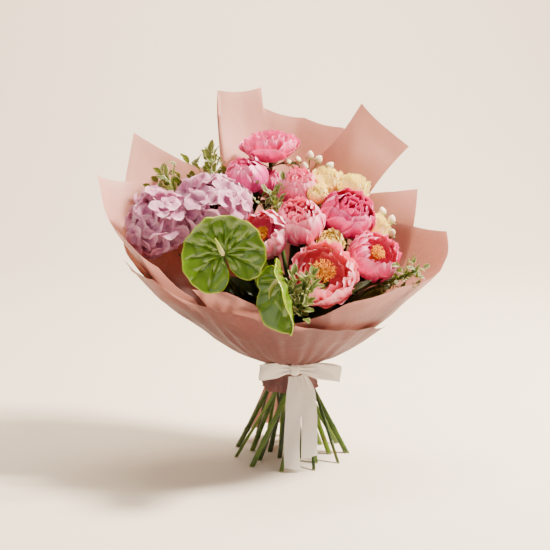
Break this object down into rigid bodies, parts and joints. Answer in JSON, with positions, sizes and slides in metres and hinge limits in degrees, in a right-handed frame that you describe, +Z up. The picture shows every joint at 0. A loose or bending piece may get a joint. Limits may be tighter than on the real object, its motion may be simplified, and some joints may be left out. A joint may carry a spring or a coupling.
{
  "type": "hand-tied bunch of peonies",
  "caption": "Hand-tied bunch of peonies with hydrangea, anthurium, roses, berries and greenery, wrapped in translucent paper with a ribbon bow, standing on its splayed cut stems.",
  "frame": {"origin": "centre of the base of the whole bunch's box, on the surface that the cut stems stand on", "axes": "+Z up through the tie, -Y the show side, +X to the right of someone facing the show side"},
  "size_m": [0.5658, 0.381, 0.5886],
  "materials": {
    "peony_petal_coral": "soft petal, coral pink paling to its edges",
    "peony_petal_magenta": "soft petal, magenta pink with pale ruffled edges",
    "peony_petal_blush": "soft petal, clear pink paling to white edges",
    "hydrangea_petal": "thin lilac-pink sepals with fine veins",
    "anthurium_spathe": "waxy, glossy green with recessed veins and a lime rim",
    "anthurium_spadix": "finely knobbled, cream at the base and green at the tip",
    "rose_petal": "soft petal, cream yellow",
    "hypericum_berry": "smooth cream berries on green twigs",
    "pittosporum_leaf": "small grey-green leaves with a cream margin",
    "green_stem": "smooth green stems and dark green leaves, pale where cut",
    "wrap_paper": "matte, translucent dusty-pink florist paper",
    "satin_ribbon": "white satin ribbon with fine selvedges",
    "binding_tape": "dark green florist tape"
  },
  "bodies": {
    "root": {"peony_1_head": "peony_petal_coral", "peony_1_stem": "green_stem", "peony_2_head": "peony_petal_blush", "peony_2_stem": "green_stem", "peony_3_head": "peony_petal_coral", "peony_3_stem": "green_stem", "peony_4_head": "peony_petal_blush", "peony_4_stem": "green_stem", "peony_5_head": "peony_petal_coral", "peony_5_stem": "green_stem", "peony_6_head": "peony_petal_magenta", "peony_6_stem": "green_stem", "peony_7_head": "peony_petal_coral", "peony_7_stem": "green_stem", "peony_8_head": "peony_petal_coral", "peony_8_stem": "green_stem", "peony_9_head": "peony_petal_coral", "peony_9_stem": "green_stem", "hydrangea_1_head": "hydrangea_petal", "hydrangea_1_stem": "green_stem", "hydrangea_2_head": "hydrangea_petal", "hydrangea_2_stem": "green_stem", "rose_1_head": "rose_petal", "rose_1_stem": "green_stem", "rose_2_head": "rose_petal", "rose_2_stem": "green_stem", "rose_3_head": "rose_petal", "rose_3_stem": "green_stem", "rose_4_head": "rose_petal", "rose_4_stem": "green_stem", "rose_5_head": "rose_petal", "rose_5_stem": "green_stem", "anthurium_1_spathe": "anthurium_spathe", "anthurium_1_spadix": "anthurium_spadix", "anthurium_1_stem": "green_stem", "anthurium_2_spathe": "anthurium_spathe", "anthurium_2_spadix": "anthurium_spadix", "anthurium_2_stem": "green_stem", "hypericum_1": "hypericum_berry", "hypericum_2": "hypericum_berry", "pittosporum_1": "pittosporum_leaf", "pittosporum_2": "pittosporum_leaf", "pittosporum_3": "pittosporum_leaf", "pittosporum_4": "pittosporum_leaf", "pittosporum_5": "pittosporum_leaf", "binding_tape": "binding_tape", "wrap_right_back": "wrap_paper", "wrap_left": "wrap_paper", "wrap_front_inner": "wrap_paper", "wrap_left_back": "wrap_paper", "wrap_right": "wrap_paper", "wrap_back": "wrap_paper", "wrap_front_outer": "wrap_paper", "ribbon_band": "satin_ribbon", "ribbon_knot": "satin_ribbon", "ribbon_loop_left": "satin_ribbon", "ribbon_loop_right": "satin_ribbon", "ribbon_tail_left": "satin_ribbon", "ribbon_tail_right": "satin_ribbon"}
  },
  "joints": []
}
